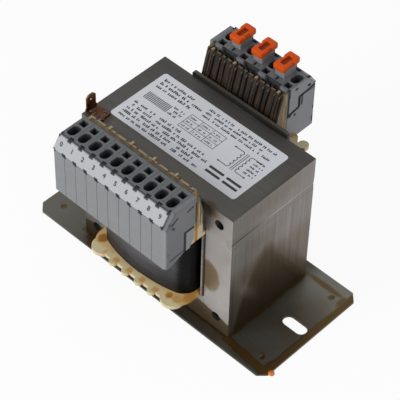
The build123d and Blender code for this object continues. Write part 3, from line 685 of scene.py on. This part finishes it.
def make_moulding(name, colour, middle, marks=None):
    """Moulded plastic: a plain tone, painted darker on top as shade, with mottling, grain, dust and its
    painted shadows.
    """
    made, where, at, facing = new_finish(name)
    moulded = place(grain_group, Vector=where, Mottle=0.08)
    # Faces turned up are painted darker: painted shade on the tops
    colour = paint(fade(facing.z, 0.8, 0.95), colour, tint(86, 90, 92))
    dust = fade(cloud(where, 75, 4.0), 0.55, 0.8, 0.0, 0.12)
    base = paint(dust, toned(colour, moulded["Tone"]), tint(150, 140, 120))
    shadow = strip_shadows(at, facing, middle)
    if marks:
        shadow = most(shadow, marks(at))
    base = paint(shadow * 0.92, base, tint(18, 19, 24))
    rough = fade(cloud(where, 300, 2.0), 0.3, 0.7, 0.38, 0.48)
    dulled = fade(shadow, 0.0, 1.0, 0.5, 0.06)
    return close_finish(made, base, rough, moulded["Height"], 0.015, Specular_IOR_Level=dulled)


def line_marks(at, face, lines):
    """Lines of painted shade on the end face at X = face, each between two points given as (distance
    from the centre, Z), with its width and strength.  With t the share of the way along it, a point's
    distance from it is |p - start - t run|."""
    masks = []
    for start, end, width, strength in lines:
        out = abs(at.y) - start[0]
        up = at.z - start[1]
        run_out, run_up = end[0] - start[0], end[1] - start[1]
        along = (out * run_out + up * run_up) / (run_out**2 + run_up**2)
        share = most(along, 0.0).math("MINIMUM", 1.0)
        off_out = out - share * run_out
        off_up = up - share * run_up
        off_line = (off_out * off_out + off_up * off_up).math("SQRT")
        masks.append(fade(off_line, width / 2 + 0.12, width / 2 - 0.12, 0.0, strength))
    return most(*masks) * fade(abs(at.x - face), 1.3, 1.2)


def rear_marks(at):
    """Painted shade on the end face: along the edges of its relief, in two gaps beside them, in sink marks
    and at pads at its rim.  On top: painted shade in the gaps at the inner edge of every second disc,
    where a bridge disc stands."""
    lines = [
        ((43.3, 88.6), (50.6, 90.0), 1.9, 1.0),
        ((50.6, 90.0), (50.7, 97.0), 2.0, 1.0),
        ((50.7, 97.0), (55.2, 97.4), 1.8, 1.0),
        ((55.2, 97.4), (62.6, 98.4), 1.9, 1.0),
        ((52.7, 90.5), (52.8, 95.8), 1.4, 0.9),
        ((57.2, 100.8), (58.2, 100.2), 1.7, 1.0),
        ((47.6, 104.0), (48.4, 103.8), 1.7, 0.9),
        ((43.5, 87.6), (44.0, 87.4), 1.7, 1.0),
        ((47.4, 86.4), (47.9, 86.2), 1.7, 0.9),
        ((62.4, 82.2), (62.4, 83.0), 1.8, 1.0),
        ((62.4, 72.5), (62.4, 75.6), 1.8, 1.0),
        ((42.2, 88.0), (42.2, 104.0), 1.6, 1.0),
    ]
    gaps = fade(off_grid(at.x, rear_middle, 2 * disc_pitch), 4.4, 4.1)
    gaps = gaps * fade(at.y, 43.7, 43.3) * fade(at.z, 99.5, 100.5)
    return most(line_marks(at, rear_middle + 3.5 * disc_pitch, lines), gaps * 0.85)


# The rear strip's grey is paler than the front's: painted light on the same plastic
front_plastic = make_moulding("front_housing_plastic", tint(117, 118, 120), front_middle)
rear_plastic = make_moulding("rear_housing_plastic", tint(124, 125, 128), rear_middle, rear_marks)
dress(front_plastic, *[name for name in cad if name.startswith("front_pole")])
dress(rear_plastic, *[name for name in cad if name.startswith(("rear_pole", "rear_bridge"))])


def make_end_plastic():
    """End plate: painted shadow on its sheet right beside the raised part, then pale.  The mask is moved
    by what the raised part hides of the sheet from in front and above."""
    made, where, at, facing = new_finish("end_plate_plastic")
    moulded = place(grain_group, Vector=where, Mottle=0.08)
    out = abs(at.y)
    low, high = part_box("front_end_plate")
    sheet_face, raised_face = low.x / mm + 0.8, high.x / mm
    raised_out, raised_foot = 48.7, strip_top - 21
    on_sheet = fade(abs(abs(at.x) - sheet_face), 0.1, 0.05)
    on_sheet = on_sheet * fade(abs(facing.x), 0.8, 0.9)
    beside = (raised_out - out).math("MINIMUM", raised_foot - at.z)
    end_shade = fade(beside, 1.5, 1.1) * on_sheet
    # Painted shade behind it next to the wall, along its steps and on its slanted faces
    at_back = fade(out, 43.3, 42.9) * fade(at.z, 89, 90)
    at_back = at_back * fade(at.z, 104, 103)
    lines = [
        ((55.6, 101.9), (59.2, 99.5), 1.3, 0.95),
        ((45.0, 102.2), (48.2, 101.2), 1.0, 0.8),
        ((62.2, 98.0), (57.2, 105.4), 1.8, 0.3),
        ((50.8, 75.7), (60.2, 75.0), 1.1, 0.8),
        ((61.6, 80.0), (61.6, 80.6), 0.9, 0.6),
    ]
    slanted = fade(facing.z, 0.35, 0.45) * fade(facing.z, 0.8, 0.7) * fade(out, 56, 57)
    end_shade = most(end_shade, at_back, line_marks(at, raised_face, lines), slanted * 0.35)
    base = toned(tint(104, 105, 108), moulded["Tone"])
    base = paint(on_sheet, base, tint(140, 141, 143))
    # Faces turned to the front and back are painted paler: a painted highlight along its edge
    base = paint(fade(abs(facing.y), 0.9, 0.96), base, tint(122, 123, 125))
    base = paint(end_shade * 0.88, base, tint(22, 23, 29))
    dulled = fade(end_shade, 0.0, 1.0, 0.5, 0.08)
    return close_finish(made, base, 0.42, moulded["Height"], 0.015, Specular_IOR_Level=dulled)


dress(make_end_plastic(), "front_end_plate", "rear_end_plate")


def make_marker_plastic(name, middle):
    """Paler strip: painted shade where it is notched, at each seam along both of its edges, and fainter
    along the edges themselves.
    """
    made, where, at, _ = new_finish(name)
    moulded = place(grain_group, Vector=where, Mottle=0.05)
    half_height = abs(at.z - (strip_top - 3.65))
    # Painted shade in the notches and along both edges
    notch = fade(half_height, 2.5, 2.7) * at_seam(at.x, middle)
    dark = most(fade(half_height, 3.15, 3.4) * 0.4, notch) * 0.9
    base = paint(dark, toned(tint(157, 158, 161), moulded["Tone"]), tint(26, 27, 31))
    dulled = fade(dark, 0.0, 1.0, 0.5, 0.08)
    return close_finish(made, base, 0.5, moulded["Height"], 0.015, Specular_IOR_Level=dulled)


tinned = make_plain("tinned_copper", tint(176, 172, 164), tint(150, 146, 138), 0.35, Metallic=0.9)
spring = make_plain("spring_steel", tint(170, 170, 170), tint(140, 140, 142), 0.3, Metallic=0.95)
dress(make_marker_plastic("front_marker_plastic", front_middle), "front_marker")
dress(make_marker_plastic("rear_marker_plastic", rear_middle), "rear_marker")
dress(tinned, "front_bars", "rear_bars")
dress(spring, "front_clamps", "rear_clamps")

marker_ink = make_plain("marker_ink", tint(40, 40, 45), tint(50, 50, 56), 0.6)
ink_lift = 0.02 * mm


def marker_numerals(strip, discs, first, away):
    """Plain numerals printed on the slanted marker, one to a disc, and read from outside: up is
    the way up the slope, and away is -1 in front and 1 behind."""
    low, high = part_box(strip)
    slope_rise, slope_run = 7.9, 5.4
    slant = math.atan2(slope_rise, slope_run)
    up = np.array([0.0, -away * math.cos(slant), math.sin(slant)])
    face = np.array([0.0, away * math.sin(slant), math.cos(slant)])
    along = np.cross(up, face)
    thickness = 1.0 * mm
    centre = (np.array(low) + np.array(high)) / 2 + face * (thickness / 2 + ink_lift)
    points, faces = [], []
    for disc in range(discs):
        text = bpy.data.curves.new(f"numeral_{disc}", "FONT")
        text.body = str(first + disc)
        text.size = 3.3 * mm
        text.align_x, text.align_y = "CENTER", "CENTER"
        text.offset = 0.15 * mm
        text.resolution_u = 4
        holder = bpy.data.objects.new(text.name, text)
        flat = bpy.data.meshes.new_from_object(holder)
        spot = np.array([corner.co[:2] for corner in flat.vertices])
        shift = disc_pitch * mm * (disc - (discs - 1) / 2)
        start = sum(len(group) for group in points)
        points.append(centre + (spot[:, :1] + shift) * along + spot[:, 1:] * up)
        faces += [[start + k for k in side.vertices] for side in flat.polygons]
        bpy.data.objects.remove(holder)
    mesh = bpy.data.meshes.new(strip + "_numerals")
    mesh.from_pydata(np.concatenate(points).tolist(), [], faces)
    piece = hang(mesh.name, mesh, marker_ink)


marker_numerals("front_marker", 10, 0, -1)
marker_numerals("rear_marker", 7, 10, 1)


# Leads: enamelled copper wires that come up through the flange, lean back with the wall,
# cross its notched crest and are soldered to the contact bars.
lead_pitch = 0.95 * disc_pitch * mm


def lead_rings(strip, places, side, seed):
    """Tubes: a circle of the wire's radius carried along a route in the (outwards, up) plane,
    each bent a little sideways by x + a sin(pi h) between foot and crest."""
    low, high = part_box(strip)
    radius = 0.6 * mm
    crest = high.z - radius
    foot_out = min(abs(low.y), abs(high.y)) + radius
    lean_out = foot_out + 4.5 * mm
    drop_out = max(abs(low.y), abs(high.y)) - radius
    route = [(foot_out, low.z), (foot_out, 87.6 * mm), (lean_out, crest), (drop_out, crest)]
    route.append((drop_out, 97 * mm))
    path = round_corners(route, [0, 4 * mm, 1.4 * mm, 1.2 * mm, 0], 7, closed=False)
    run = np.gradient(path, axis=0)
    run = run / np.linalg.norm(run, axis=1, keepdims=True)
    angle = np.linspace(0, 2 * math.pi, 12, endpoint=False)
    across = radius * np.cos(angle)
    raised = radius * np.sin(angle)
    rise = (path[:, 1] - low.z) / (crest - low.z)
    luck = np.random.default_rng(seed)
    bow = luck.uniform(-0.35, 0.45, len(places))[:, None] * mm * np.sin(math.pi * rise)[None]
    centre_x = np.asarray(places)[:, None] + bow
    x = centre_x[:, :, None] + across
    out = path[:, 0][:, None] - run[:, 1][:, None] * raised
    up = path[:, 1][:, None] + run[:, 0][:, None] * raised
    return np.stack(np.broadcast_arrays(x, side * out[None], up[None]), axis=-1)


def make_lead_enamel():
    made, where, *_ = new_finish("lead_enamel")
    change = cloud(where, (700, 200, 120))
    colour = paint(fade(change, 0.42, 0.72), tint(15, 12, 11), tint(50, 36, 27))
    return close_finish(made, colour, 0.4, change, 0.03, Metallic=0.2, Coat_Weight=0.08)


lead_enamel = make_lead_enamel()
front_places = [lead_pitch * (number - 4.5) for number in range(10)]
rear_discs = [rear_middle + disc_pitch * (number - 3) for number in range(7)]
rear_places = [(disc + half * 1.6) * mm for disc in rear_discs for half in (-1, 1)]
for strip, places, side, seed in (("front_leads", front_places, -1, 4), ("rear_leads", rear_places, 1, 9)):
    wires = skin(strip + "_wires", lead_rings(strip, places, side, seed), lead_enamel, 60.0)
    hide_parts(strip)


# Bridge plugs: orange moulded handles, waisted like a bone, with a recess in their backs.
# Each is pushed on the narrow stem of its disc and joins the two neighbours inside.
def bone(half_length, half_end, half_waist, waist_half, centre, level):
    """Outline of a waisted handle about centre, its twelve corners rounded, at one height."""
    right = [(half_end, -half_length), (half_end, -waist_half), (half_waist, -waist_half)]
    right += [(x, -y) for x, y in reversed(right)]
    corners = np.array(right + [(-x, -y) for x, y in right])
    radii = np.array([1.1, 0.5, 0.35, 0.35, 0.5, 1.1] * 2) * mm
    points = round_corners(corners, radii, 7) + np.array(centre)
    return np.column_stack([points, np.full(len(points), level)])


def plug_rings(name):
    """Rings up the handle: rounded foot, wall, rounded crown, then down into the recess."""
    low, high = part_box(name)
    centre = ((low.x + high.x) / 2, (low.y + high.y) / 2)
    half_width = (high.x - low.x) / 2
    half_length = (high.y - low.y) / 2
    rings = []
    for inset, drop in ((0.5, 3.3), (0.15, 3.15), (0, 2.8), (0, 0.55), (0.16, 0.16), (0.55, 0)):
        cut = inset * mm
        sizes = (half_length - cut, half_width - cut, 3.0 * mm - cut, 1.6 * mm + cut)
        rings.append(bone(*sizes, centre, high.z - drop * mm))
    # Recess: the same points thrown on the rounded rectangle |x/a|^6 + |y/b|^6 = 1
    spoke = rings[-1][:, :2] - np.array(centre)
    for half_x, half_y, drop in ((1.7, 3.9, 0), (1.6, 3.8, 0.12), (1.57, 3.77, 1.3)):
        share = spoke / (np.array([half_x, half_y]) * mm)
        size = (np.abs(share) ** 6).sum(axis=1, keepdims=True) ** (1 / 6)
        level = np.full((len(spoke), 1), high.z - drop * mm)
        rings.append(np.hstack([spoke / size + np.array(centre), level]))
    return np.stack(rings)


def make_plug_plastic():
    made, where, at, facing = new_finish("plug_plastic")
    moulded = place(grain_group, Vector=where, Mottle=0.12)
    ribs = (at.y * (2 * math.pi / 1.1)).math("SINE")
    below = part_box("bridge_plug_1")[1].z / mm - at.z
    # Painted shade on the floor of the recess in its back, darker along rib lines
    recess = fade(below, 0.3, 0.6) * fade(below, 1.45, 1.35)
    recess = recess * fade(facing.z, 0.6, 0.9) * fade(ribs, -0.5, 0.6, 0.6, 0.88)
    base = paint(recess, toned(tint(202, 74, 0), moulded["Tone"]), tint(84, 26, 8))
    return close_finish(made, base, 0.45, moulded["Height"], 0.015, Specular_IOR_Level=0.22)


plug_plastic = make_plug_plastic()
for name in [name for name in cad if name.startswith("bridge_plug")]:
    plug = skin(name + "_handle", plug_rings(name)[None], plug_plastic, 40.0)
    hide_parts(name)


# Earth blade: a bent strip of brass sheet for a push-on socket, spot welded to the top yoke
# before the dip, so varnish has stained it a rusty brown.
def make_tab_brass():
    made, where, at, _ = new_finish("tab_brass")
    patches = cloud(where, 420, 4.0)
    bare = paint(patches, tint(134, 104, 66), tint(92, 68, 40))
    low_down = fade(at.z, 97, 92.5, 0.35, 0.95)
    coat = place(
        varnish_group, Surface=bare, Surface_Roughness=0.4,
        Amount=low_down * fade(cloud(where, 260), 0.35, 0.65, 0.6, 1.0),
        Thin=tint(206, 144, 80), Thick=tint(62, 28, 10),
    )
    return close_finish(made, coat["Color"], coat["Roughness"], patches, 0.05, Metallic=0.6)


dress(make_tab_brass(), "earth_tab")


# Varnish drops: dark lumps left by the dip round the blade's foot, one amber drop that set as
# it ran off the plate's front right corner, and a film between the front crest and the discs.
def drop_rings(centre, half, sides=24, levels=16):
    """A drop: at share t from top to foot its radius is sin(pi t)^0.6 (0.85 + 0.25 t), made
    uneven round it by 1 + 0.06 sin 3a.  Its centre and half sizes are given in millimetres."""
    share = np.linspace(0.015, 0.985, levels)[:, None]
    angle = np.linspace(0, 2 * math.pi, sides, endpoint=False)[None, :]
    uneven = 1 + 0.06 * np.sin(3 * angle + centre[0])
    radius = np.sin(math.pi * share) ** 0.6 * (0.85 + 0.25 * share) * uneven
    x = centre[0] + half[0] * radius * np.cos(angle)
    y = centre[1] + half[1] * radius * np.sin(angle)
    z = np.broadcast_to(centre[2] + half[2] * (1 - 2 * share), x.shape)
    return np.stack([x, y, z], axis=-1) * mm


def crest_film_rings(stations=260, around=28):
    """A film between crest and discs: an oval section in (y, z) carried along x, its height
    rippled by 0.22 cos(2 pi x / p) with the leads' pitch p, and by a slower wave."""
    low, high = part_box("bobbin")
    disc_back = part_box("front_pole_1")[1].y
    x = np.linspace(low.x + 0.4 * mm, high.x - 0.4 * mm, stations)[:, None]
    angle = np.linspace(0, 2 * math.pi, around, endpoint=False)[None, :]
    ripple = 0.22 * np.cos(2 * math.pi * x / lead_pitch) + 0.12 * np.sin(x / (4.7 * mm))
    squared = np.sign(np.cos(angle)) * np.abs(np.cos(angle)) ** 0.4
    y = disc_back + 1.85 * mm * (1 + squared) - 0.05 * mm + 0.12 * mm * np.sin(x / (3.1 * mm))
    z = high.z - 1.5 * mm + (0.3 * np.sin(angle) + ripple) * mm
    return np.stack(np.broadcast_arrays(x, y, z), axis=-1)[None]


def make_set_varnish(name, first, second, rim=None):
    """Set varnish: glossy, its tone uneven and deeper where it is thick, and paler over a wall."""
    made, where, at, _ = new_finish(name)
    depth = cloud(where, 420)
    colour = paint(fade(depth, 0.3, 0.7), first, second)
    if rim:
        over_wall = fade(abs(at.y), 39.5, 38.9)
        colour = paint(over_wall, colour, rim)
    return close_finish(made, colour, 0.2, depth, 0.08, Specular_IOR_Level=0.4)


lumps = [
    ((-42.4, -25.8, 89.75), (1.7, 1.4, 0.8)),
    ((-45.2, -27.0, 89.65), (1.9, 1.0, 0.7)),
    ((-49.6, -25.0, 89.95), (1.5, 1.9, 1.0)),
    ((-43.6, -21.4, 89.7), (1.6, 1.3, 0.75)),
    ((-47.4, -26.2, 90.15), (1.4, 1.2, 0.6)),
]
film_tints = [tint(62, 51, 34), tint(98, 83, 58), tint(116, 99, 71)]
brown_varnish = make_set_varnish("brown_varnish", tint(74, 42, 18), tint(30, 16, 8))
crest_varnish = make_set_varnish("crest_varnish", *film_tints)
amber_varnish = make_set_varnish("amber_varnish", tint(206, 120, 32), tint(172, 90, 18))
skin("crest_film", crest_film_rings(), crest_varnish, 60.0)
skin("foot_lumps", np.stack([drop_rings(*lump) for lump in lumps]), brown_varnish, 60.0)
skin("corner_drop", drop_rings((84.0, -31.4, 1.05), (1.9, 1.9, 1.05))[None], amber_varnish, 60.0)


# Label: white polyester film stuck on the top yoke.  Its print is generic: rows of small
# ticks in place of words, a table of boxes, a winding sign and a field of grey bars.
dress(make_plain("label_film", tint(206, 208, 214), tint(200, 202, 208), 0.38, 60), "label")
label_low, label_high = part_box("label")
label_centre = np.array([(label_low.x + label_high.x) / 2, (label_low.y + label_high.y) / 2])


def print_on_label(name, quads, shade):
    """Ink lying on the label: quads shaped (many, 4, 2), in millimetres from its centre."""
    flat = np.asarray(quads, float).reshape(-1, 2) * mm + label_centre
    points = np.column_stack([flat, np.full(len(flat), label_high.z + ink_lift)])
    index = np.arange(len(points)).reshape(-1, 4)
    mesh = bpy.data.meshes.new(name)
    mesh.from_pydata(points.tolist(), [], index.tolist())
    piece = hang(name, mesh, make_plain(name + "_ink", shade, shade, 0.5))


def bars(x, y, width, height):
    """Upright rectangles with their lower left corners at x, y."""
    x, y, width, height = np.broadcast_arrays(*[np.asarray(v, float) for v in (x, y, width, height)])
    corners = [(x, y), (x + width, y), (x + width, y + height), (x, y + height)]
    return np.stack([np.stack(corner, axis=-1) for corner in corners], axis=-2).reshape(-1, 4, 2)


def stroke(path, width):
    """A line of even width along a path: each stretch is a quad about it."""
    path = np.asarray(path, float)
    run = np.diff(path, axis=0)
    side = np.stack([-run[:, 1], run[:, 0]], axis=1)
    side = side / np.linalg.norm(side, axis=1, keepdims=True) * width / 2
    start, end = path[:-1], path[1:]
    return np.stack([start - side, end - side, end + side, start + side], axis=1)


def tick_row(luck, left, right, base, size):
    """A row of ticks in groups, as wide as words: a stem each, and some have a foot or a top."""
    pitch = 0.62 * size
    count = int((right - left) / pitch)
    x = left + pitch * np.arange(count)
    shown = luck.random(count) > 0.16
    gaps = np.cumsum(luck.integers(3, 9, count))
    shown[gaps[gaps < count]] = False
    x = x[shown]
    tall = size * luck.choice([0.72, 0.72, 1.0], len(x))
    stems = bars(x, base, 0.36 * size, tall)
    footed = luck.random(len(x)) > 0.45
    feet = bars(x[footed], base, 0.56 * size, 0.26 * size)
    topped = luck.random(len(x)) > 0.5
    tops = bars(x[topped], base + 0.48 * size, 0.56 * size, 0.26 * size)
    return np.concatenate([stems, feet, tops])


luck = np.random.default_rng(21)
left = -39.5
top_rows = list(enumerate((22, 30, 26)))
foot_rows = list(enumerate((56, 50, 56, 52, 34)))
rows = [tick_row(luck, left, left + width, 15.4 - 3.0 * row, 1.9) for row, width in top_rows]
rows += [tick_row(luck, -8, 38 - 5 * (row % 2), 16.0 - 2.7 * row, 1.6) for row in range(3)]
rows += [tick_row(luck, left, left + width, -17.8 + 2.9 * row, 1.8) for row, width in foot_rows]
rows += [tick_row(luck, 33.5, 40.5, 6.2 - 2.5 * row, 1.3) for row in range(5)]
rows += [tick_row(luck, -22, -14.5, 4.6 - 2.5 * row, 1.5) for row in range(3)]
print_on_label("label_rows", np.concatenate(rows), tint(30, 30, 36))

grey_field = bars(-39 + 1.1 * np.arange(15), -0.6, 0.66, 5.6)
print_on_label("label_grey_field", grey_field, tint(84, 84, 90))

table = [stroke([(x, -2.6), (x, 8.0)], 0.34) for x in (-12, -4, 4, 12)]
table += [stroke([(-12.1, y), (12.1, y)], 0.34) for y in (-2.6, 0.93, 4.46, 8.0)]
for x in (-11, -3, 5):
    table += [tick_row(luck, x, x + 5.4, -1.5 + 3.53 * row, 1.2) for row in range(3)]
print_on_label("label_table", np.concatenate(table), tint(52, 52, 58))


def winding(x, turns, side, low=-6.0, pitch=2.6):
    """A winding sign: half circles one above another, open to the side it bulges from."""
    angle = np.linspace(-math.pi / 2, math.pi / 2, 11)
    loop = np.column_stack([x + side * 1.15 * np.cos(angle), low + pitch / 2 * np.sin(angle)])
    loops = [loop + np.array([0, pitch * (turn + 0.5)]) for turn in range(turns)]
    high = low + pitch * turns
    ends = [[(x, level), (x - side * 5, level)] for level in (low, high)]
    return np.concatenate([stroke(path, 0.46) for path in loops + ends])


sign = [winding(24.5, 5, 1), winding(31.0, 5, -1)]
sign += [stroke([(x, -6.4), (x, 7.4)], 0.4) for x in (27.2, 28.3)]
sign += [bars([18.6, 18.6, 36.0, 36.0], [-6.5, 6.5, -6.5, 6.5], 1.0, 1.0)]
rules = bars([19.0, 19.0, 30.5, 30.5], [-12.6, -15.8, -12.6, -15.8], 9.6, 1.6)
print_on_label("label_winding_sign", np.concatenate(sign), tint(46, 46, 52))
print_on_label("label_rules", rules, tint(22, 22, 28))


# Studio: white floor and surround that keep a faint shadow, a large soft lamp in front on the
# left and a weaker one on the right, and a long lens above the right front corner.
def make_floor_paper():
    made, where, *_ = new_finish("floor_paper")
    colour = paint(cloud(where, 900, 2.0), tint(236, 236, 236), tint(240, 240, 240))
    paper = add("BsdfDiffuse", {"Color": colour})
    white = add("Emission", {"Color": (1, 1, 1, 1), "Strength": 1.0}, tree=where.tree)
    rays = add("LightPath", out=None, tree=where.tree)
    share = most(rays["Is Camera Ray"], rays["Is Glossy Ray"] * 0.6) * 0.91
    surface = add("MixShader", {0: share, 1: paper, 2: white})
    add("OutputMaterial", {"Surface": surface}, out=None)
    return made


def ground(size, level):
    """A round sheet of paper: radius r times (cos, sin), level everywhere."""
    angle = np.linspace(0, 2 * math.pi, 64, endpoint=False)
    rim = np.column_stack([size * np.cos(angle), size * np.sin(angle), np.full(64, level)])
    mesh = bpy.data.meshes.new("floor")
    mesh.from_pydata(rim.tolist(), [], [list(range(64))])
    mesh.materials.append(make_floor_paper())
    sheet = bpy.data.objects.new("floor", mesh)
    bpy.context.collection.objects.link(sheet)


ground(6.0, -0.05 * mm)

world = bpy.data.worlds.new("studio")
bpy.context.scene.world = world
world.use_nodes = True
world.node_tree.nodes.clear()
rays = add("LightPath", out=None, tree=world.node_tree)
bright = most(rays["Is Camera Ray"], rays["Is Transmission Ray"], rays["Is Glossy Ray"] * 0.9)
shade = paint(bright, (0.5, 0.5, 0.51, 1), (1, 1, 1, 1))
backdrop = add("Background", {"Color": shade, "Strength": 1.0})
add("OutputWorld", {"Surface": backdrop}, out=None)


def soft_lamp(name, spot, aim, size, power):
    lamp = bpy.data.lights.new(name, "AREA")
    lamp.shape = "DISK"
    lamp.size = size
    lamp.energy = power
    holder = bpy.data.objects.new(name, lamp)
    holder.location = spot
    line = np.array(aim) - np.array(spot)
    holder.rotation_euler = Vector(line.tolist()).to_track_quat("-Z", "Y").to_euler()
    bpy.context.collection.objects.link(holder)


core_middle = (0, 0, 0.05)
soft_lamp("key", (-0.35, -1.15, 0.75), core_middle, 0.9, 13.0)
soft_lamp("fill", (1.2, -0.3, 0.6), core_middle, 0.7, 2.5)

camera = bpy.data.cameras.new("camera")
camera.lens = 162.8
camera.sensor_width = 36.0
camera.clip_start = 0.05
viewer = bpy.data.objects.new("camera", camera)
viewer.location = (0.43366, -0.46633, 0.73158)
viewer.rotation_euler = [math.radians(turn) for turn in (42.7014, -1.0647, 43.8919)]
bpy.context.collection.objects.link(viewer)
bpy.context.scene.camera = viewer
bpy.context.scene.view_settings.view_transform = "Standard"
